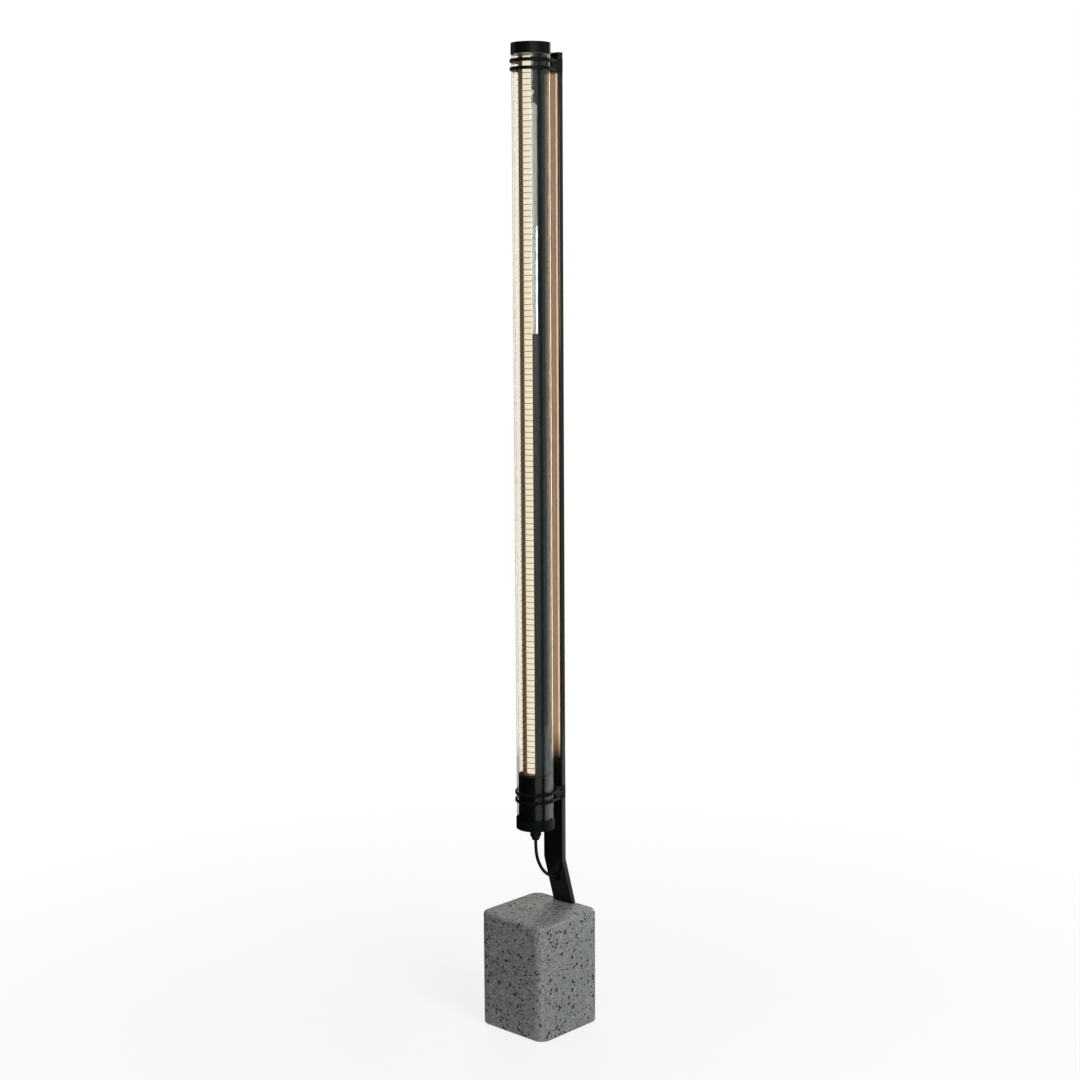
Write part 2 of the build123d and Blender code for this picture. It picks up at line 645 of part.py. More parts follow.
with BuildPart() as gland_nut:
    with BuildSketch(Plane.XY.offset(nut_top)):
        RegularPolygon(GLAND_HEX / 2, 6, major_radius=False)
    extrude(amount=-GLAND_NUT_HEX_HEIGHT)
    with BuildSketch(Plane.XY.offset(nut_top - GLAND_NUT_HEX_HEIGHT)):
        Circle(GLAND_HEX / 2)
    with BuildSketch(Plane.XY.offset(gland_exit)):
        Circle(GLAND_NUT_TIP / 2)
    loft()
    with BuildSketch(Plane.XY.offset(nut_top)):
        Circle(GLAND_NOSE_THREAD / 2 + GLAND_THREAD_CLEARANCE)
    extrude(amount=-(GLAND_NUT_HEIGHT - GLAND_NUT_FLOOR), mode=Mode.SUBTRACT)
    with BuildSketch(Plane.XY.offset(gland_exit)):
        Circle(seal_bore)
    extrude(amount=GLAND_NUT_HEIGHT, mode=Mode.SUBTRACT)
save(gland_nut, "gland_nut")

with BuildPart() as gland_seal:
    with BuildSketch(Plane.XY.offset(gland_exit + GLAND_NUT_FLOOR)):
        Circle(nose_bore - LEAD_CLEARANCE)
        Circle(LEAD_DIAMETER / 2 + LEAD_CLEARANCE / 2, mode=Mode.SUBTRACT)
    extrude(amount=GLAND_NUT_HEIGHT - GLAND_NUT_FLOOR)
save(gland_seal, "gland_seal")

with BuildPart() as gland_locknut:
    with BuildSketch(Plane.XY.offset(tube_bottom + CAP_END_WALL)):
        RegularPolygon(LOCKNUT_HEX / 2, 6, major_radius=False)
        Circle(GLAND_THREAD / 2 + GLAND_THREAD_CLEARANCE, mode=Mode.SUBTRACT)
    extrude(amount=LOCKNUT_HEIGHT)
save(gland_locknut, "gland_locknut")

# Lead from the gland up to the driver
with BuildPart(Plane.XY.offset(gland_exit)) as tube_lead:
    Cylinder(LEAD_DIAMETER / 2, driver_bottom - gland_exit, align=CENTRE_MIN)
save(tube_lead, "tube_lead")

# Driver housing with its bosses for the cap screws
housing_radius = glass_bore - DRIVER_HOUSING_CLEARANCE
with BuildPart(Plane.XY.offset(housing_bottom)) as driver_housing:
    Cylinder(housing_radius, DRIVER_HOUSING_HEIGHT, align=CENTRE_MIN)
    with Locations((0, 0, DRIVER_HOUSING_FLOOR)):
        Cylinder(
            housing_radius - DRIVER_HOUSING_WALL,
            DRIVER_HOUSING_HEIGHT - DRIVER_HOUSING_FLOOR,
            align=CENTRE_MIN,
            mode=Mode.SUBTRACT,
        )
    with PolarLocations(boss_circle, CAP_SCREW_COUNT):
        Cylinder(BOSS_DIAMETER / 2, SPIGOT_LENGTH, align=CENTRE_MAX)
    with BuildSketch(Plane.XY.offset(tube_bottom + CAP_END_WALL)):
        with PolarLocations(boss_circle, CAP_SCREW_COUNT):
            Circle(CAP_SCREW_DIAMETER / 2 + SCREW_CLEARANCE)
    extrude(amount=SPIGOT_LENGTH, mode=Mode.SUBTRACT)
    Cylinder(seal_bore, 2 * DRIVER_HOUSING_FLOOR, mode=Mode.SUBTRACT)
save(driver_housing, "driver_housing")

# Driver module
with BuildPart(Plane.XY.offset(driver_bottom)) as driver_module:
    Box(DRIVER_WIDTH, DRIVER_DEPTH, DRIVER_HEIGHT, align=CENTRE_MIN)
    fillet(driver_module.edges().filter_by(Axis.Z), DRIVER_ROUND)
save(driver_module, "driver_module")

# Places of the light strips round the core, and of the two wires under each
strip_radius = CORE_SIDE / 2 + STRIP_THICKNESS / 2
chip_radius = CORE_SIDE / 2 + STRIP_THICKNESS + CHIP_HEIGHT / 2


def strip_places(radius):
    """Places round the core that face outward, one for each light strip."""
    return PolarLocations(radius, STRIP_COUNT, STRIP_FIRST_ANGLE, STRIP_ARC, endpoint=True)


strip_bottom = frame_bottom + STRIP_END_GAP
strip_length = frame_length - 2 * STRIP_END_GAP

# Driver cover, which carries the frame of the light
with BuildPart(Plane.XY.offset(housing_top)) as driver_cover:
    Cylinder(housing_radius, DRIVER_COVER_THICKNESS, align=CENTRE_MIN)
    Cylinder(CORE_BORE / 2, 2 * DRIVER_COVER_THICKNESS, mode=Mode.SUBTRACT)
    with BuildSketch(Plane.XY.offset(housing_top)):
        with strip_places(strip_radius):
            with GridLocations(0, WIRE_SPACING, 1, 2):
                Circle(WIRE_HOLE / 2)
    extrude(amount=DRIVER_COVER_THICKNESS, mode=Mode.SUBTRACT)
save(driver_cover, "driver_cover")

# Wires from the driver to the light strips
with BuildPart() as led_wires:
    with BuildSketch(Plane.XY.offset(driver_top)):
        with strip_places(strip_radius):
            with GridLocations(0, WIRE_SPACING, 1, 2):
                Circle(WIRE_DIAMETER / 2)
    extrude(amount=strip_bottom - driver_top)
save(led_wires, "led_wires")

# Disc at the top of the frame, with bosses for the cap screws
with BuildPart(Plane.XY.offset(frame_top)) as top_disc:
    Cylinder(housing_radius, TOP_DISC_THICKNESS, align=CENTRE_MIN)
    with PolarLocations(boss_circle, CAP_SCREW_COUNT):
        with Locations((0, 0, TOP_DISC_THICKNESS)):
            Cylinder(BOSS_DIAMETER / 2, SPIGOT_LENGTH, align=CENTRE_MIN)
    Cylinder(CORE_BORE / 2, 2 * TOP_DISC_THICKNESS, mode=Mode.SUBTRACT)
    with BuildSketch(Plane.XY.offset(disc_top)):
        with PolarLocations(boss_circle, CAP_SCREW_COUNT):
            Circle(CAP_SCREW_DIAMETER / 2 + SCREW_CLEARANCE)
    extrude(amount=SPIGOT_LENGTH, mode=Mode.SUBTRACT)
save(top_disc, "top_disc")

# Core bar that carries the light strips
with BuildPart(Plane.XY.offset(frame_bottom)) as led_core:
    Box(CORE_SIDE, CORE_SIDE, frame_length, align=CENTRE_MIN)
    Cylinder(CORE_BORE / 2, frame_length, align=CENTRE_MIN, mode=Mode.SUBTRACT)
save(led_core, "led_core")

# Screws at the two ends of the core
core_screw_planes = [
    (Plane((0, 0, housing_top)), DRIVER_COVER_THICKNESS),
    (Plane((0, 0, disc_top), x_dir=(1, 0, 0), z_dir=(0, 0, -1)), TOP_DISC_THICKNESS),
]
with BuildPart() as core_screws:
    for plane, thickness in core_screw_planes:
        with BuildSketch(plane):
            Circle(CORE_SCREW_HEAD / 2)
        extrude(amount=-CORE_SCREW_HEAD_HEIGHT)
        with BuildSketch(plane):
            Circle(CORE_SCREW_DIAMETER / 2)
        extrude(amount=thickness + CORE_SCREW_GRIP)
save(core_screws, "core_screws")

# Light strips
with BuildPart(Plane.XY.offset(strip_bottom)) as led_strips:
    with strip_places(strip_radius):
        Box(STRIP_THICKNESS, STRIP_WIDTH, strip_length, align=CENTRE_MIN)
save(led_strips, "led_strips")

# Light chips along the strips
chip_count = int(strip_length // CHIP_PITCH)
with BuildPart(Plane.XY.offset(strip_bottom + CHIP_PITCH / 2)) as led_chips:
    with Locations(*[(0, 0, step * CHIP_PITCH) for step in range(chip_count)]):
        with strip_places(chip_radius):
            Box(CHIP_HEIGHT, CHIP_SIDE, CHIP_SIDE)
save(led_chips, "led_chips")

# Diffuser tube round the light strips
diffuser_radius = DIFFUSER_DIAMETER / 2
diffuser_length = frame_length - 2 * COLLAR_FLOOR
with BuildPart(Plane.XY.offset(frame_bottom + COLLAR_FLOOR)) as diffuser:
    Cylinder(diffuser_radius, diffuser_length, align=CENTRE_MIN)
    Cylinder(
        diffuser_radius - DIFFUSER_WALL, diffuser_length, align=CENTRE_MIN, mode=Mode.SUBTRACT
    )
save(diffuser, "diffuser")

# Collars that hold the ends of the diffuser
collar_planes = {
    "lower": Plane((0, 0, frame_bottom)),
    "upper": Plane((0, 0, frame_top), x_dir=(1, 0, 0), z_dir=(0, 0, -1)),
}
for end, plane in collar_planes.items():
    with BuildPart() as collar:
        with BuildSketch(plane):
            Circle(diffuser_radius + COLLAR_RIM)
            Circle(COLLAR_BORE / 2, mode=Mode.SUBTRACT)
        extrude(amount=COLLAR_HEIGHT)
        with BuildSketch(plane.offset(COLLAR_FLOOR)):
            Circle(diffuser_radius + COLLAR_CLEARANCE)
        extrude(amount=COLLAR_HEIGHT, mode=Mode.SUBTRACT)
    save(collar, f"{end}_collar")

# Glare shield on the +X side of the light
with BuildPart() as glare_shield:
    with BuildSketch(radial_plane(-SHIELD_HALF_ANGLE)):
        with Locations((MESH_RADIUS, frame_bottom)):
            Rectangle(SHIELD_THICKNESS, frame_length, align=(Align.CENTER, Align.MIN))
    revolve(axis=Axis.Z, revolution_arc=2 * SHIELD_HALF_ANGLE)
save(glare_shield, "glare_shield")

# Mesh rings round the rest of the light, from one edge of the shield to the other, with a flat face inward
ring_count = int((frame_length - MESH_PITCH / 2) // MESH_PITCH) + 1
ring_places = [
    (MESH_RADIUS, frame_bottom + MESH_PITCH / 2 + step * MESH_PITCH)
    for step in range(ring_count)
]
mesh_arc = 360 - 2 * SHIELD_HALF_ANGLE
flat_turn = 180 / MESH_WIRE_SIDES
with BuildPart() as mesh_rings:
    with BuildSketch(radial_plane(SHIELD_HALF_ANGLE)):
        with Locations(*ring_places):
            RegularPolygon(MESH_WIRE / 2, MESH_WIRE_SIDES, major_radius=False, rotation=flat_turn)
    revolve(axis=Axis.Z, revolution_arc=mesh_arc)
save(mesh_rings, "mesh_rings")

# Mesh strips: two curved strips inside the rings, which hold them apart
strip_outer = MESH_RADIUS - MESH_WIRE / 2 - MESH_STRIP_CLEARANCE
mesh_strip_starts = [MESH_STRIP_ANGLE - MESH_STRIP_ARC / 2, -MESH_STRIP_ANGLE - MESH_STRIP_ARC / 2]
with BuildPart() as mesh_strips:
    for start_angle in mesh_strip_starts:
        with BuildSketch(radial_plane(start_angle)):
            with Locations((strip_outer, frame_bottom)):
                Rectangle(MESH_STRIP_THICKNESS, frame_length, align=(Align.MAX, Align.MIN))
        revolve(axis=Axis.Z, revolution_arc=MESH_STRIP_ARC)
save(mesh_strips, "mesh_strips")
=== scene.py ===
"""Outdoor floor lamp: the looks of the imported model, in its frame, in metres."""
import json
import math

import bmesh
import bpy
from mathutils import Matrix, Vector

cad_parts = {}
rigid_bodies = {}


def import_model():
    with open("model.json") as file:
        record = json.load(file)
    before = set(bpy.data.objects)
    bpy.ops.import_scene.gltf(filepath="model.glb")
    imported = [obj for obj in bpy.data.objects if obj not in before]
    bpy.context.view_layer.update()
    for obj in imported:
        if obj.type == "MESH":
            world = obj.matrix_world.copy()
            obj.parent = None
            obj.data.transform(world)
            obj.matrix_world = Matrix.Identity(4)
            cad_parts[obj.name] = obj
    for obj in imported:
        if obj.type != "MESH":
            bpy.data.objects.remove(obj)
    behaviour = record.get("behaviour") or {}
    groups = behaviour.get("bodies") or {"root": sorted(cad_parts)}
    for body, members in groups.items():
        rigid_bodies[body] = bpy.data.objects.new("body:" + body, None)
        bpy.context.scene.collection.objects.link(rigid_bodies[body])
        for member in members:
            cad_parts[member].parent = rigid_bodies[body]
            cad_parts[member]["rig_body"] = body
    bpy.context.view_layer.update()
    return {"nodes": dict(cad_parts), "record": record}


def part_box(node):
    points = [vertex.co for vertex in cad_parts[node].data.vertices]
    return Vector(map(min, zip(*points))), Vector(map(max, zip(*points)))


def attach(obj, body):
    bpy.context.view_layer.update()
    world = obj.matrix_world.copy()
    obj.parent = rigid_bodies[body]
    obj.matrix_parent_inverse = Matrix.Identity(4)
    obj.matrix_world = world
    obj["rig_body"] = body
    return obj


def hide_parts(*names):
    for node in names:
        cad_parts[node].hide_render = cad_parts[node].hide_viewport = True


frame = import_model()

WHITE = (1.0, 1.0, 1.0)
FULL_TURN = 2 * math.pi
RIGHT_ANGLE = 90.0

# Camera, as the photograph was taken
VIEW_AZIMUTH = 43.0
VIEW_DISTANCE = 3.534
VIEW_HEIGHT = 1.438
VIEW_TILT = 8.1
VIEW_YAW = 0.184
VIEW_ROLL = -0.33
IMAGE_PIXELS = 1080.0
FOCAL_PIXELS = 1930.0
SENSOR_WIDTH = 36.0

# Sizes that repeat the part's source
GLASS_WALL = 0.003
DIFFUSER_WALL = 0.0015
SHIELD_THICKNESS = 0.0015
SHIELD_HALF_ANGLE = math.radians(48.0)
MESH_RADIUS = 0.024
MESH_WIRE = 0.0014
MESH_PITCH = 0.0105
MESH_STRIP_THICKNESS = 0.001
MESH_STRIP_ANGLE = math.radians(113.0)
MESH_STRIP_ARC = math.radians(45.0)
MESH_STRIP_RADIUS = 0.023
LEAD_DIAMETER = 0.0062
LEAD_ROUTE = [
    (0.0, 0.0, 0.363),
    (0.0, 0.0, 0.342),
    (0.0, 0.006, 0.319),
    (0.0, 0.020, 0.297),
    (0.0, 0.040, 0.282),
    (0.0, 0.06061, 0.27618),
]

# Fineness of the rebuilt shapes, with a rim's radius as a share of its wall
LEAD_STEPS = 12
LEAD_SIDES = 6
ROUND_SEGMENTS = 160
WIRE_SEGMENTS = 8
RING_SEGMENTS = 80
RIM_SEGMENTS = 6
RIM_SHARE = 0.25
RIM_LINE = 3.0
SMOOTH_ANGLE = math.radians(35.0)

# Grain of the plain finishes
NOISE_LOW = 0.3
NOISE_HIGH = 0.7
GRAIN_DETAIL = 3.0
BROAD_RATIO = 25
BROAD_SHARE = 0.4
LATHE_LINES = (1.0, 1.0, 40.0)
DRAWN_LINES = (30.0, 30.0, 1.0)

# Stone: patterns a metre, and colours
STONE_WOBBLE = 500.0
STONE_WOBBLE_SIZE = 0.0016
STONE_MOTTLE = 26.0
STONE_MOTTLE_DETAIL = 4.0
STONE_MOTTLE_SHARE = 0.35
STONE_GRAIN = 850.0
STONE_DARK = (0.130, 0.140, 0.138)
STONE_LIGHT = (0.245, 0.256, 0.252)
STONE_MEAN = (0.16, 0.17, 0.168)
STONE_ROUGHNESS = (0.5, 0.68)
STONE_SPECULAR = 0.3
STONE_RELIEF = 0.0001

# Warm and cool patches of the stone
PATCH_DETAIL = 3.0
PATCH_SHARE = 0.45
PATCH_START = 0.45
PATCH_END = 0.75
STONE_PATCHES = {
    "warm": dict(scale=70.0, colour=(0.21, 0.192, 0.168)),
    "cool": dict(scale=55.0, colour=(0.138, 0.172, 0.185)),
}

# Chips of the stone: cells a metre, and the share of cells that hold a chip
STONE_CHIPS = {
    "pale": dict(scale=520.0, share=0.10, colour=(0.34, 0.35, 0.345)),
    "mid": dict(scale=300.0, share=0.10, colour=(0.105, 0.113, 0.112)),
    "grey": dict(scale=250.0, share=0.07, colour=(0.26, 0.27, 0.265)),
    "black": dict(scale=220.0, share=0.048, colour=(0.010, 0.012, 0.013)),
    "small_black": dict(scale=330.0, share=0.042, colour=(0.018, 0.02, 0.021)),
}

# Lighter edges of the stone, edge wear with a painted highlight, found by how far the surface turns from the
# nearest face
EDGE_WEAR_AND_HIGHLIGHT = 0.16
EDGE_WEAR_AND_HIGHLIGHT_COLOUR = (0.42, 0.43, 0.425)
EDGE_TURN = math.radians(45.0)
FACE_TURN = math.radians(10.0)

# Clear glass: what each of its surfaces lets through and mirrors, face on and at the edge, with painted shade
# darkening its edges and a painted warm reflection at its edges
GLASS_TINT = (0.968, 0.958, 0.928)
GLASS_MIRROR = 0.014
GLASS_EDGE_MIRROR = 0.8
GLASS_MIRROR_TINT = (0.86, 0.95, 1.0)
# Painted warm reflection: the mirror colour at the glass's edges
GLASS_EDGE_PAINTED_WARM_REFLECTION = (1.0, 0.92, 0.76)
GLASS_EDGE_POWER = 4.0
# Painted shade: what the glass lets through at its edges
GLASS_EDGE_SHADE = (0.53, 0.53, 0.51)
GLASS_SHADE_START = 0.61
GLASS_SHADE_END = 0.82
GLASS_WAVES = 9.0
GLASS_WAVE_DEPTH = 0.0012
GLASS_STREAKS = 45.0
GLASS_STREAK_STRETCH = (1.0, 1.0, 0.08)
GLASS_ROUGHNESS = (0.015, 0.03)

# Light tube
OPAL_CLOUDS = 40.0
OPAL_STRETCH = (1.0, 1.0, 0.25)
OPAL_GLOW_LOW = (0.97, 0.87, 0.69)
OPAL_GLOW_HIGH = (1.0, 0.94, 0.79)
OPAL_STRENGTH = 0.85
OPAL_COLOUR = (0.25, 0.24, 0.21)
OPAL_ROUGHNESS = (0.45, 0.6)

# Plain finishes by material slot, with the grain a metre
FINISHES = {
    "pad_rubber": dict(colour=(0.03, 0.03, 0.03), roughness=0.8, grain=900.0),
    "insert_brass": dict(
        colour=(0.6, 0.45, 0.2), roughness=0.35, grain=900.0, metallic=1.0, stretch=LATHE_LINES
    ),
    # The mast paint's warm specular tint is a painted warm sheen in its reflections, standing in for the
    # lamp's glow
    "mast_paint": dict(
        colour=(0.005, 0.005, 0.005), roughness=0.14, grain=1100.0, gloss_spread=0.04, relief=0.000006,
        specular=0.2, specular_tint=(1.0, 0.95, 0.87),
    ),
    "plug_plastic": dict(colour=(0.006, 0.006, 0.006), roughness=0.5, grain=1500.0, specular=0.1),
    "screw_black": dict(
        colour=(0.03, 0.03, 0.03), roughness=0.4, grain=1500.0, metallic=0.6, stretch=DRAWN_LINES
    ),
    "spacer_steel": dict(
        colour=(0.5, 0.5, 0.5), roughness=0.35, grain=900.0, metallic=1.0, stretch=DRAWN_LINES
    ),
    "saddle_plastic": dict(colour=(0.006, 0.006, 0.006), roughness=0.45, grain=1500.0, specular=0.1),
    "strap_rubber": dict(colour=(0.004, 0.004, 0.004), roughness=0.5, grain=1300.0, specular=0.04),
    "cord_black": dict(colour=(0.005, 0.005, 0.005), roughness=0.45, grain=1500.0, specular=0.12),
    # The cap's teal specular tint is a painted teal highlight on it
    "cap_black": dict(
        colour=(0.003, 0.005, 0.0045), roughness=0.3, grain=250.0, relief=0.00001, specular=0.04,
        specular_tint=(0.8, 1.0, 0.96), stretch=LATHE_LINES,
    ),
    "seal_rubber": dict(colour=(0.02, 0.02, 0.02), roughness=0.7, grain=1300.0, specular=0.15),
    "gland_plastic": dict(colour=(0.006, 0.006, 0.006), roughness=0.45, grain=1500.0, specular=0.1),
    "driver_black": dict(colour=(0.003, 0.003, 0.003), roughness=0.5, grain=1200.0, specular=0.05),
    "driver_potting": dict(colour=(0.05, 0.05, 0.055), roughness=0.5, grain=600.0),
    "wire_sheath": dict(colour=(0.5, 0.06, 0.05), roughness=0.45, grain=900.0),
    "frame_aluminium": dict(
        colour=(0.75, 0.75, 0.74), roughness=0.45, grain=300.0, spread=0.08, metallic=0.2, stretch=LATHE_LINES
    ),
    "strip_white": dict(colour=(0.8, 0.8, 0.78), roughness=0.5, grain=700.0, spread=0.05),
    "chip_yellow": dict(colour=(0.85, 0.65, 0.15), roughness=0.3, grain=1500.0, spread=0.1),
    "shield_dark": dict(
        colour=(0.006, 0.010, 0.011), roughness=0.4, grain=260.0, spread=0.25, specular=0.08,
        stretch=LATHE_LINES,
    ),
    "mesh_bronze": dict(colour=(0.24, 0.16, 0.085), roughness=0.5, grain=1500.0, specular=0.15),
    "ring_brass": dict(colour=(0.34, 0.27, 0.17), roughness=0.4, grain=1500.0, metallic=0.3),
}

# Floor and world
FLOOR_SIDE = 80.0
FLOOR_CELLS = 4
FLOOR_CLOUDS = 3.0
FLOOR_DARK = (0.84, 0.84, 0.84)
FLOOR_LIGHT = (0.88, 0.88, 0.88)
FLOOR_ROUGHNESS = 0.9
FLOOR_LIFT = 0.8
FLOOR_NEAR = 0.35
FLOOR_FAR = 1.6
WORLD_FILL = 0.29

# Cloths that only mirrors see: dark in front, grey at the left of the glass and brown at its right
FLAG_RADIUS = 0.6
FLAG_LIFT = 0.002
FLAG_INNER = 0.13
FLAG_HEIGHT = 2.6
LOW_FLAG_HEIGHT = 0.4
RIM_FLAG_LOW = 0.41
FLAG_SEGMENTS = 32
FLAG_DARK = (0.012, 0.013, 0.014)
FLAG_GREY = (0.08, 0.095, 0.085)
FLAG_BROWN = (0.2, 0.13, 0.08)
FLAG_FINISH = dict(roughness=0.9, grain=400.0, specular=0.0)
TALL_RADIUS = FLAG_RADIUS + FLAG_LIFT
LOW_SECTION = [(FLAG_INNER, FLAG_LIFT), (FLAG_RADIUS, FLAG_LIFT), (FLAG_RADIUS, LOW_FLAG_HEIGHT)]
TALL_SECTION = [(TALL_RADIUS, FLAG_LIFT), (TALL_RADIUS, FLAG_HEIGHT)]
RIM_SECTION = [(TALL_RADIUS, RIM_FLAG_LOW), (TALL_RADIUS, FLAG_HEIGHT)]
FLAGS = {
    "low_flag": dict(section=LOW_SECTION, first=-115.0, last=VIEW_AZIMUTH, colour=FLAG_DARK),
    "left_flag": dict(section=TALL_SECTION, first=-50.0, last=28.0, colour=FLAG_DARK),
    "right_flag": dict(section=TALL_SECTION, first=84.0, last=106.0, colour=FLAG_DARK),
    "edge_flag": dict(section=TALL_SECTION, first=-137.0, last=-88.0, colour=FLAG_GREY),
    "rim_flag": dict(section=RIM_SECTION, first=146.0, last=170.0, colour=FLAG_BROWN),
}

# Lamps round the object: the first two light it, and only mirrors see the others
LIGHTING = {
    "key_light": dict(azimuth=76.0, distance=2.4, height=1.9, aim=0.6, width=1.2, tall=1.6, power=54.0),
    "back_light": dict(azimuth=225.0, distance=2.4, height=1.9, aim=0.6, width=1.2, tall=1.6, power=24.0),
}
STREAK_COLOUR = (1.0, 0.96, 0.84)
MIRRORED = {
    "streak_light": dict(
        azimuth=58.0, distance=2.0, height=1.554, aim=1.5, width=1.38, tall=0.68, power=36.5,
        colour=STREAK_COLOUR,
    ),
    "core_light": dict(
        azimuth=47.0, distance=1.98, height=1.632, aim=1.5, width=0.5, tall=0.836, power=10.3,
        colour=STREAK_COLOUR,
    ),
    "glint_light": dict(
        azimuth=71.5, distance=1.96, height=1.382, aim=1.382, width=0.36, tall=0.336, power=15.4
    ),
    "rim_light": dict(
        azimuth=197.0, distance=2.0, height=1.1, aim=1.1, width=1.1, tall=2.2, power=43.0,
        colour=(1.0, 0.86, 0.66),
    ),
    "low_light": dict(
        azimuth=130.0, distance=1.0, height=0.17, aim=0.17, width=0.8, tall=0.34, power=1.1,
        colour=(0.72, 0.9, 1.0),
    ),
}

# Warm light of the lamp itself on the mast behind it: a brown middle between two pale lines
GLOW_INSET = 0.02
GLOW_FADE = 0.05
GLOW_BANDS = {
    "glow_middle": dict(offset=0.0, width=0.014, radiance=11.0, colour=(1.0, 0.6, 0.37)),
    "glow_left": dict(offset=-0.0062, width=0.004, radiance=80.0, colour=(1.0, 0.8, 0.57)),
    "glow_right": dict(offset=0.0095, width=0.004, radiance=38.0, colour=(1.0, 0.8, 0.6)),
}


def link(piece):
    """Put an object into the scene."""
    bpy.context.scene.collection.objects.link(piece)
    return piece


def around(azimuth, distance, height):
    """A point at an azimuth round the object, in degrees from the front."""
    turn = math.radians(azimuth)
    return Vector((distance * math.sin(turn), -distance * math.cos(turn), height))


# Camera
camera_data = bpy.data.cameras.new("camera")
camera_data.sensor_width = SENSOR_WIDTH
camera_data.lens = SENSOR_WIDTH * FOCAL_PIXELS / IMAGE_PIXELS
camera = link(bpy.data.objects.new("camera", camera_data))
camera.matrix_world = (
    Matrix.Translation(around(VIEW_AZIMUTH, VIEW_DISTANCE, VIEW_HEIGHT))
    @ Matrix.Rotation(math.radians(VIEW_AZIMUTH - VIEW_YAW), 4, "Z")
    @ Matrix.Rotation(math.radians(RIGHT_ANGLE - VIEW_TILT), 4, "X")
    @ Matrix.Rotation(math.radians(VIEW_ROLL), 4, "Z")
)
bpy.context.scene.camera = camera
bpy.context.scene.view_settings.view_transform = "Standard"

# Lamp lead from the gland into the mast
lead_curve = bpy.data.curves.new("lamp_lead_cord", "CURVE")
lead_curve.dimensions = "3D"
lead_spline = lead_curve.splines.new("NURBS")
lead_spline.points.add(len(LEAD_ROUTE) - 1)
for point, place in zip(lead_spline.points, LEAD_ROUTE):
    point.co = (*place, 1.0)
lead_spline.order_u = 3
lead_spline.use_endpoint_u = True
lead_curve.resolution_u = LEAD_STEPS
lead_curve.bevel_depth = LEAD_DIAMETER / 2
lead_curve.bevel_resolution = LEAD_SIDES
lead_curve.use_fill_caps = True
lamp_lead = link(bpy.data.objects.new("lamp_lead_cord", lead_curve))


# Nodes that the materials share
def new_material(name):
    """An empty node material, with its tree and its main shader."""
    material = bpy.data.materials.new(name)
    material.use_nodes = True
    tree = material.node_tree
    return material, tree, tree.nodes["Principled BSDF"]


def node(tree, kind, **settings):
    """Add a node and set its own properties."""
    made = tree.nodes.new(kind)
    for key, value in settings.items():
        setattr(made, key, value)
    return made


def places(tree, stretch=(1.0, 1.0, 1.0)):
    """Coordinates of the piece in metres, stretched along each axis."""
    source = node(tree, "ShaderNodeTexCoord")
    mapping = node(tree, "ShaderNodeMapping")
    mapping.inputs["Scale"].default_value = stretch
    tree.links.new(source.outputs["Object"], mapping.inputs["Vector"])
    return mapping.outputs["Vector"]


def noise(tree, vector, scale, detail=2.0):
    """Noise factor over the given coordinates."""
    texture = node(tree, "ShaderNodeTexNoise")
    texture.inputs["Scale"].default_value = scale
    texture.inputs["Detail"].default_value = detail
    tree.links.new(vector, texture.inputs["Vector"])
    return texture.outputs["Fac"]


def ranged(tree, value, low, high, start=NOISE_LOW, end=NOISE_HIGH):
    """Map a factor from start..end to low..high."""
    mapped = node(tree, "ShaderNodeMapRange")
    mapped.inputs["From Min"].default_value = start
    mapped.inputs["From Max"].default_value = end
    mapped.inputs["To Min"].default_value = low
    mapped.inputs["To Max"].default_value = high
    tree.links.new(value, mapped.inputs["Value"])
    return mapped.outputs["Result"]


def combined(tree, operation, first, second):
    """A sum, power or the like of two values, each a number or the output of another node."""
    maths = node(tree, "ShaderNodeMath", operation=operation)
    for socket, value in zip(maths.inputs, (first, second)):
        if isinstance(value, bpy.types.NodeSocket):
            tree.links.new(value, socket)
        else:
            socket.default_value = value
    return maths.outputs["Value"]


def mixed(tree, factor, first, second):
    """Mix two colours, each a colour or the output of another node."""
    mix = node(tree, "ShaderNodeMix", data_type="RGBA")
    tree.links.new(factor, mix.inputs["Factor"])
    for name, colour in (("A", first), ("B", second)):
        socket = [s for s in mix.inputs if s.name == name and s.type == "RGBA"][0]
        if isinstance(colour, bpy.types.NodeSocket):
            tree.links.new(colour, socket)
        else:
            socket.default_value = (*colour, 1.0)
    return [s for s in mix.outputs if s.type == "RGBA"][0]


def mix_shaders(tree, share, first, second, output):
    """Let the output show a share of the second shader and the rest of the first."""
    mix = node(tree, "ShaderNodeMixShader")
    tree.links.new(share, mix.inputs["Fac"])
    tree.links.new(first, mix.inputs[1])
    tree.links.new(second, mix.inputs[2])
    tree.links.new(mix.outputs["Shader"], tree.nodes[output].inputs["Surface"])


def bumped(tree, shader, height, distance):
    """Let a factor raise the surface by the given distance."""
    bump = node(tree, "ShaderNodeBump")
    bump.inputs["Strength"].default_value = 1.0
    bump.inputs["Distance"].default_value = distance
    tree.links.new(height, bump.inputs["Height"])
    tree.links.new(bump.outputs["Normal"], shader.inputs["Normal"])


def seen_rays(tree):
    """1 for rays that the camera, a mirror or glass sends out, and 0 for the others."""
    path = node(tree, "ShaderNodeLightPath")
    total = path.outputs["Is Camera Ray"]
    for name in ("Is Glossy Ray", "Is Transmission Ray"):
        total = combined(tree, "MAXIMUM", total, path.outputs[name])
    return total


def shaded(colour, factor):
    """A colour made darker or lighter by a factor."""
    return tuple(min(1.0, channel * factor) for channel in colour)


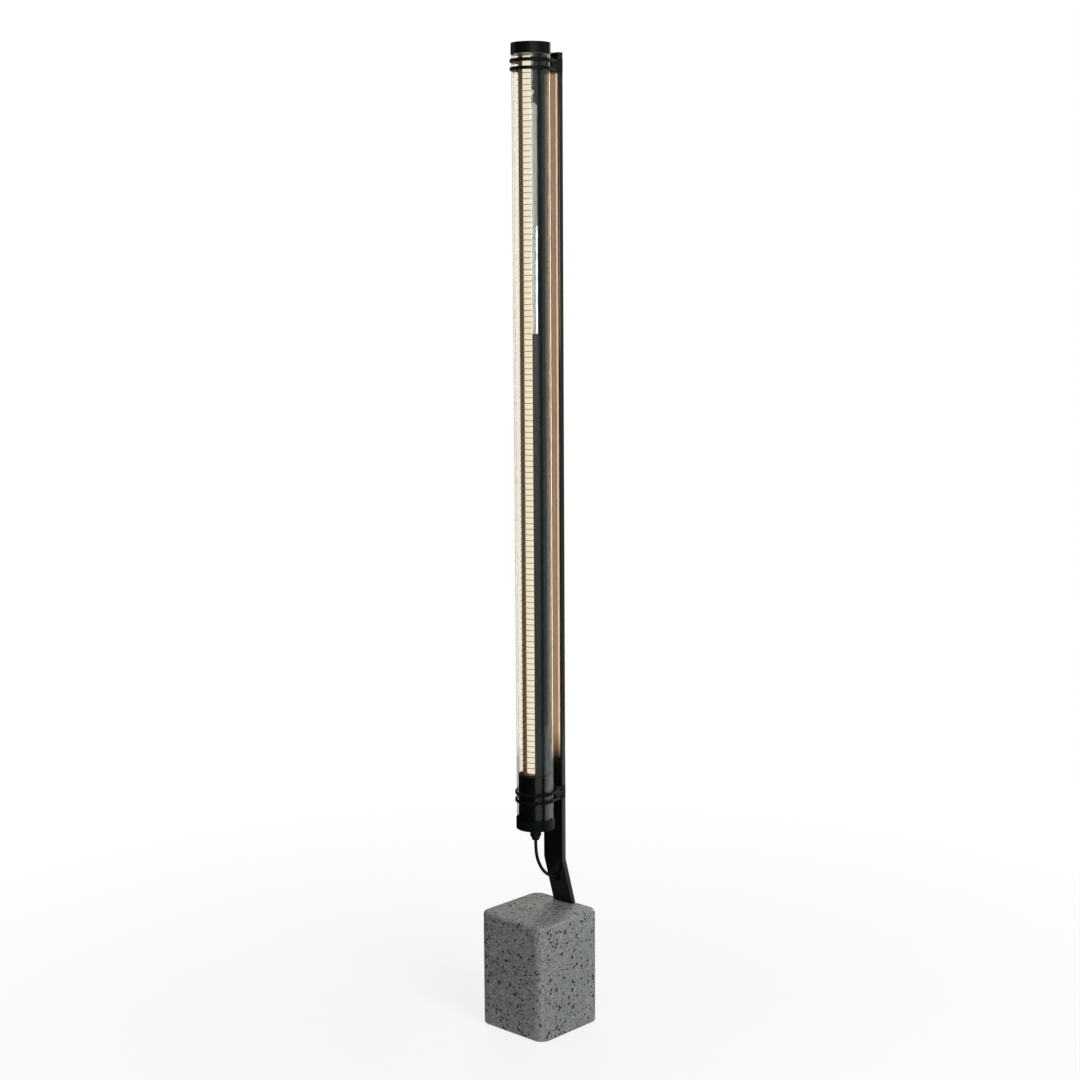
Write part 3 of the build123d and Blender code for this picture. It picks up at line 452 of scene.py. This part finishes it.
# Materials
def grained(
    name,
    colour,
    roughness,
    grain,
    spread=0.2,
    gloss_spread=0.08,
    relief=0.00003,
    metallic=0.0,
    specular=0.3,
    specular_tint=WHITE,
    stretch=(1.0, 1.0, 1.0),
):
    """A surface whose colour, gloss and relief vary with a grain of that many lines a metre."""
    material, tree, shader = new_material(name)
    fine = noise(tree, places(tree, stretch), grain, GRAIN_DETAIL)
    broad = noise(tree, places(tree), grain / BROAD_RATIO)
    fine_colour = mixed(tree, fine, shaded(colour, 1 - spread), shaded(colour, 1 + spread))
    broad_share = ranged(tree, broad, 0.0, BROAD_SHARE)
    whole_colour = mixed(tree, broad_share, fine_colour, shaded(colour, 1 + 2 * spread))
    tree.links.new(whole_colour, shader.inputs["Base Color"])
    gloss = ranged(tree, broad, roughness - gloss_spread, roughness + gloss_spread)
    tree.links.new(gloss, shader.inputs["Roughness"])
    shader.inputs["Metallic"].default_value = metallic
    shader.inputs["Specular IOR Level"].default_value = specular
    shader.inputs["Specular Tint"].default_value = (*specular_tint, 1.0)
    bumped(tree, shader, fine, relief)
    return material


def worn_and_highlit_edges(tree):
    """A factor that rises to the edge wear and painted highlight where the surface turns between the faces of
    a block.
    """
    surface = node(tree, "ShaderNodeNewGeometry")
    upright = node(tree, "ShaderNodeVectorMath", operation="ABSOLUTE")
    tree.links.new(surface.outputs["Normal"], upright.inputs[0])
    axes = node(tree, "ShaderNodeSeparateXYZ")
    tree.links.new(upright.outputs["Vector"], axes.inputs["Vector"])
    largest = axes.outputs["X"]
    for name in ("Y", "Z"):
        largest = combined(tree, "MAXIMUM", largest, axes.outputs[name])
    return ranged(tree, largest, EDGE_WEAR_AND_HIGHLIGHT, 0.0, math.cos(EDGE_TURN), math.cos(FACE_TURN))


def wobbled(tree, vector):
    """Coordinates shaken a little, so that the chips get ragged outlines."""
    wobble = node(tree, "ShaderNodeTexNoise")
    wobble.inputs["Scale"].default_value = STONE_WOBBLE
    tree.links.new(vector, wobble.inputs["Vector"])
    shift = node(tree, "ShaderNodeVectorMath", operation="SCALE")
    shift.inputs["Scale"].default_value = STONE_WOBBLE_SIZE
    tree.links.new(wobble.outputs["Color"], shift.inputs[0])
    moved = node(tree, "ShaderNodeVectorMath", operation="ADD")
    tree.links.new(vector, moved.inputs[0])
    tree.links.new(shift.outputs["Vector"], moved.inputs[1])
    return moved.outputs["Vector"]


def chips(tree, vector, label, scale, share):
    """1 in the given share of the cells of a cell pattern, and 0 in the others."""
    cells = node(tree, "ShaderNodeTexVoronoi", label=label)
    cells.inputs["Scale"].default_value = scale
    tree.links.new(vector, cells.inputs["Vector"])
    split = node(tree, "ShaderNodeSeparateColor")
    tree.links.new(cells.outputs["Color"], split.inputs["Color"])
    return combined(tree, "LESS_THAN", split.outputs["Red"], share)


def terrazzo():
    """Grey ground stone with black, dark and pale chips."""
    material, tree, shader = new_material("terrazzo")
    vector = places(tree)
    ragged = wobbled(tree, vector)
    mottle = noise(tree, vector, STONE_MOTTLE, STONE_MOTTLE_DETAIL)
    grain = noise(tree, vector, STONE_GRAIN)
    ground = mixed(tree, ranged(tree, grain, 0.0, 1.0), STONE_DARK, STONE_LIGHT)
    ground = mixed(tree, ranged(tree, mottle, 0.0, STONE_MOTTLE_SHARE), ground, STONE_MEAN)
    for patch in STONE_PATCHES.values():
        cloud = noise(tree, vector, patch["scale"], PATCH_DETAIL)
        share = ranged(tree, cloud, 0.0, PATCH_SHARE, PATCH_START, PATCH_END)
        ground = mixed(tree, share, ground, patch["colour"])
    for label, chip in STONE_CHIPS.items():
        chosen = chips(tree, ragged, label, chip["scale"], chip["share"])
        ground = mixed(tree, chosen, ground, chip["colour"])
    # Painted highlight with wear: the stone is made lighter along the edges of the block
    ground = mixed(tree, worn_and_highlit_edges(tree), ground, EDGE_WEAR_AND_HIGHLIGHT_COLOUR)
    tree.links.new(ground, shader.inputs["Base Color"])
    tree.links.new(ranged(tree, mottle, *STONE_ROUGHNESS), shader.inputs["Roughness"])
    shader.inputs["Specular IOR Level"].default_value = STONE_SPECULAR
    bumped(tree, shader, grain, STONE_RELIEF)
    return material


def clear_glass():
    """Thin clear glass: it lets light straight through and mirrors more towards its edges, where painted
    shade darkens what it lets through and a painted warm reflection tints what it mirrors.
    """
    material, tree, shader = new_material("clear_glass")
    shader.inputs["Metallic"].default_value = 1.0
    streaks = noise(tree, places(tree, GLASS_STREAK_STRETCH), GLASS_STREAKS)
    bumped(tree, shader, noise(tree, places(tree), GLASS_WAVES), GLASS_WAVE_DEPTH)
    tree.links.new(ranged(tree, streaks, *GLASS_ROUGHNESS), shader.inputs["Roughness"])
    clear = node(tree, "ShaderNodeBsdfTransparent")
    facing = node(tree, "ShaderNodeLayerWeight").outputs["Facing"]
    # Painted shade: what the glass lets through darkens towards its edges
    wall = ranged(tree, facing, 0.0, 1.0, GLASS_SHADE_START, GLASS_SHADE_END)
    tree.links.new(mixed(tree, wall, GLASS_TINT, GLASS_EDGE_SHADE), clear.inputs["Color"])
    # Painted reflection: the mirror colour turns warm towards the edges
    mirror_tint_with_painted_warm_edge = mixed(tree, facing, GLASS_MIRROR_TINT, GLASS_EDGE_PAINTED_WARM_REFLECTION)
    tree.links.new(mirror_tint_with_painted_warm_edge, shader.inputs["Base Color"])
    edge = combined(tree, "POWER", facing, GLASS_EDGE_POWER)
    mirror = ranged(tree, edge, GLASS_MIRROR, GLASS_EDGE_MIRROR, 0.0, 1.0)
    mix_shaders(tree, mirror, clear.outputs["BSDF"], shader.outputs["BSDF"], "Material Output")
    return material


def lit_opal():
    """Opal light tube that glows, a little brighter along some stretches."""
    material, tree, shader = new_material("lit_opal")
    cloud = noise(tree, places(tree, OPAL_STRETCH), OPAL_CLOUDS)
    glow = mixed(tree, cloud, OPAL_GLOW_LOW, OPAL_GLOW_HIGH)
    tree.links.new(glow, shader.inputs["Emission Color"])
    shader.inputs["Emission Strength"].default_value = OPAL_STRENGTH
    shader.inputs["Base Color"].default_value = (*OPAL_COLOUR, 1.0)
    tree.links.new(ranged(tree, cloud, *OPAL_ROUGHNESS), shader.inputs["Roughness"])
    return material


def floor_pale():
    """Pale floor that keeps the shadow near the object and is white further away."""
    material, tree, shader = new_material("floor_pale")
    cloud = noise(tree, places(tree), FLOOR_CLOUDS)
    tree.links.new(mixed(tree, cloud, FLOOR_DARK, FLOOR_LIGHT), shader.inputs["Base Color"])
    shader.inputs["Roughness"].default_value = FLOOR_ROUGHNESS
    shader.inputs["Specular IOR Level"].default_value = 0.0
    white = node(tree, "ShaderNodeEmission")
    white.inputs["Strength"].default_value = 1.0
    reach = node(tree, "ShaderNodeVectorMath", operation="LENGTH")
    tree.links.new(places(tree), reach.inputs[0])
    lift = ranged(tree, reach.outputs["Value"], FLOOR_LIFT, 1.0, FLOOR_NEAR, FLOOR_FAR)
    share = combined(tree, "MULTIPLY", seen_rays(tree), lift)
    mix_shaders(tree, share, shader.outputs["BSDF"], white.outputs["Emission"], "Material Output")
    return material


slot_materials = {slot: grained(slot, **finish) for slot, finish in FINISHES.items()}
slot_materials["base_stone"] = terrazzo()
slot_materials["clear_glass"] = clear_glass()
slot_materials["diffuser_opal"] = lit_opal()

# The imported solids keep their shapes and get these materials
node_slots = {row["node"]: row["material_slot"] for row in frame["record"]["subparts"]}
for name, solid in frame["nodes"].items():
    material = slot_materials[node_slots[name]]
    if solid.material_slots:
        for place in solid.material_slots:
            place.material = material
    else:
        solid.data.materials.append(material)


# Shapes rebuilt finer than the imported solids
def dress(piece, name):
    """Give a piece the body, slot and material of the node that it replaces."""
    piece.data.materials.append(slot_materials[node_slots[name]])
    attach(piece, frame["nodes"][name]["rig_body"])
    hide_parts(name)
    return piece


def mesh_object(form, name):
    """Turn a worked mesh into an object of the scene."""
    mesh = bpy.data.meshes.new(name)
    form.to_mesh(mesh)
    form.free()
    return link(bpy.data.objects.new(name, mesh))


def mesh_piece(form, name, label):
    """Turn a worked mesh into a piece that stands for the named node."""
    bmesh.ops.recalc_face_normals(form, faces=form.faces)
    piece = mesh_object(form, label)
    piece.data.shade_smooth()
    piece.data.set_sharp_from_angle(angle=SMOOTH_ANGLE)
    return dress(piece, name)


def turned(form, profile, segments, start, arc):
    """Turn a closed profile of (radius, height) round the tube's axis, and close the ends of a part turn."""
    whole = math.isclose(arc, FULL_TURN)
    columns = []
    for step in range(segments if whole else segments + 1):
        angle = start + arc * step / segments
        columns.append([
            form.verts.new((r * math.cos(angle), r * math.sin(angle), z)) for r, z in profile
        ])
    pairs = list(zip(columns, columns[1:]))
    if whole:
        pairs.append((columns[-1], columns[0]))
    for near, far in pairs:
        for i in range(len(profile)):
            j = (i + 1) % len(profile)
            form.faces.new((near[i], far[i], far[j], near[j]))
    if not whole:
        form.faces.new(columns[0])
        form.faces.new(columns[-1])


def wall_profile(outer, wall, bottom, top):
    """Section of a tube wall with rounded rims.

    A line near each rim keeps the wall's shading straight.
    """
    inner = outer - wall
    edge = wall * RIM_SHARE
    low_line = bottom + RIM_LINE * edge
    high_line = top - RIM_LINE * edge
    corners = (
        (outer - edge, bottom + edge, -RIGHT_ANGLE, [(outer, low_line), (outer, high_line)]),
        (outer - edge, top - edge, 0.0, []),
        (inner + edge, top - edge, RIGHT_ANGLE, [(inner, high_line), (inner, low_line)]),
        (inner + edge, bottom + edge, 2 * RIGHT_ANGLE, []),
    )
    profile = []
    for r, z, first, wall_lines in corners:
        for step in range(RIM_SEGMENTS + 1):
            angle = math.radians(first + RIGHT_ANGLE * step / RIM_SEGMENTS)
            profile.append((r + edge * math.cos(angle), z + edge * math.sin(angle)))
        profile.extend(wall_lines)
    return profile


def wire_section(radius, height):
    """Round section of a mesh wire at a height."""
    angles = [FULL_TURN * step / WIRE_SEGMENTS for step in range(WIRE_SEGMENTS)]
    return [
        (radius + MESH_WIRE / 2 * math.cos(angle), height + MESH_WIRE / 2 * math.sin(angle))
        for angle in angles
    ]


def wall_piece(name, label, wall, segments, turns, outer=None):
    """A tube wall, or turns of one from a start over an arc, as tall as the node that it stands for."""
    low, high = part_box(name)
    profile = wall_profile(outer or high.x, wall, low.z, high.z)
    form = bmesh.new()
    for start, arc in turns:
        turned(form, profile, segments, start, arc)
    return mesh_piece(form, name, label)


# Glass tube
wall_piece("glass_tube", "glass_tube_clear", GLASS_WALL, ROUND_SEGMENTS, [(0.0, FULL_TURN)])

# Light tube
wall_piece("diffuser", "light_tube_opal", DIFFUSER_WALL, ROUND_SEGMENTS, [(0.0, FULL_TURN)])

# Glare shield
shield_turn = (-SHIELD_HALF_ANGLE, 2 * SHIELD_HALF_ANGLE)
wall_piece("glare_shield", "glare_shield_shell", SHIELD_THICKNESS, RING_SEGMENTS, [shield_turn])

# Mesh rings
ring_low, ring_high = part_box("mesh_rings")
ring_arc = 2 * (math.pi - SHIELD_HALF_ANGLE)
ring_count = round((ring_high.z - ring_low.z) / MESH_PITCH) + 1
ring_span = MESH_PITCH * (ring_count - 1)
first_ring = (ring_low.z + ring_high.z - ring_span) / 2
rings = bmesh.new()
for step in range(ring_count):
    section = wire_section(MESH_RADIUS, first_ring + step * MESH_PITCH)
    turned(rings, section, RING_SEGMENTS, SHIELD_HALF_ANGLE, ring_arc)
mesh_piece(rings, "mesh_rings", "mesh_rings_round")

# Mesh strips
strip_turns = [
    (middle - MESH_STRIP_ARC / 2, MESH_STRIP_ARC) for middle in (MESH_STRIP_ANGLE, -MESH_STRIP_ANGLE)
]
wall_piece(
    "mesh_strips",
    "mesh_strips_curved",
    MESH_STRIP_THICKNESS,
    RING_SEGMENTS,
    strip_turns,
    outer=MESH_STRIP_RADIUS,
)

# The lead takes the place of its solid
dress(lamp_lead, "lamp_lead")

# Floor
floor_form = bmesh.new()
bmesh.ops.create_grid(floor_form, x_segments=FLOOR_CELLS, y_segments=FLOOR_CELLS, size=FLOOR_SIDE / 2)
floor = mesh_object(floor_form, "floor")
floor.data.materials.append(floor_pale())

# World: soft fill light, and white where it is seen
world = bpy.data.worlds.new("studio")
bpy.context.scene.world = world
world.use_nodes = True
world_tree = world.node_tree
fill = world_tree.nodes["Background"]
white = node(world_tree, "ShaderNodeBackground")
for background, strength in ((fill, WORLD_FILL), (white, 1.0)):
    background.inputs["Color"].default_value = (*WHITE, 1.0)
    background.inputs["Strength"].default_value = strength
mix_shaders(
    world_tree,
    seen_rays(world_tree),
    fill.outputs["Background"],
    white.outputs["Background"],
    "World Output",
)


# Cloths
def flag(name, section, first, last, colour):
    """A cloth of the given section of (radius, height), turned from the first azimuth to the last."""
    form = bmesh.new()
    rows = []
    for step in range(FLAG_SEGMENTS + 1):
        azimuth = first + (last - first) * step / FLAG_SEGMENTS
        rows.append([form.verts.new(around(azimuth, r, z)) for r, z in section])
    for near, far in zip(rows, rows[1:]):
        for i in range(len(section) - 1):
            form.faces.new((near[i], far[i], far[i + 1], near[i + 1]))
    cloth = mesh_object(form, name)
    cloth.data.materials.append(grained(f"{name}_cloth", colour, **FLAG_FINISH))
    for ray in ("camera", "diffuse", "transmission", "volume_scatter", "shadow"):
        setattr(cloth, f"visible_{ray}", False)


for name, settings in FLAGS.items():
    flag(name, **settings)


# Lamps
def area_lamp(name, width, tall, power, colour):
    """A rectangular lamp that the camera doesn't see."""
    data = bpy.data.lights.new(name, "AREA")
    data.shape = "RECTANGLE"
    data.size = width
    data.size_y = tall
    data.energy = power
    data.color = colour
    lamp = link(bpy.data.objects.new(name, data))
    lamp.visible_camera = False
    return lamp


def soft_box(name, azimuth, distance, height, aim, width, tall, power, colour=WHITE):
    """A lamp that stands at an azimuth round the object and faces a height on the tube's axis."""
    lamp = area_lamp(name, width, tall, power, colour)
    place = around(azimuth, distance, height)
    facing = (Vector((0.0, 0.0, aim)) - place).to_track_quat("-Z", "Y")
    lamp.matrix_world = Matrix.Translation(place) @ facing.to_matrix().to_4x4()
    return lamp


for name, settings in LIGHTING.items():
    soft_box(name, **settings).visible_glossy = False
for name, settings in MIRRORED.items():
    soft_box(name, **settings).visible_diffuse = False

# Glow on the mast, from between it and the glass
glow_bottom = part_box("diffuser")[0].z + GLOW_INSET
glow_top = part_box("upper_saddle")[0].z
glow_depth = (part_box("glass_tube")[1].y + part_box("mast_top_plug")[0].y) / 2 - GLASS_WALL


def glow_band(name, offset, width, radiance, colour):
    """An upright band of light that faces the mast and fades out towards its foot."""
    tall = glow_top - glow_bottom
    lamp = area_lamp(name, width, tall, radiance * math.pi * width * tall, colour)
    lamp.data.use_nodes = True
    tree = lamp.data.node_tree
    surface = node(tree, "ShaderNodeNewGeometry")
    axes = node(tree, "ShaderNodeSeparateXYZ")
    tree.links.new(surface.outputs["Position"], axes.inputs["Vector"])
    fade = ranged(tree, axes.outputs["Z"], 0.0, 1.0, glow_bottom, glow_bottom + GLOW_FADE)
    tree.links.new(fade, tree.nodes["Emission"].inputs["Strength"])
    place = Vector((offset, glow_depth, (glow_bottom + glow_top) / 2))
    lamp.matrix_world = Matrix.Translation(place) @ Matrix.Rotation(math.radians(RIGHT_ANGLE), 4, "X")


for name, settings in GLOW_BANDS.items():
    glow_band(name, **settings)
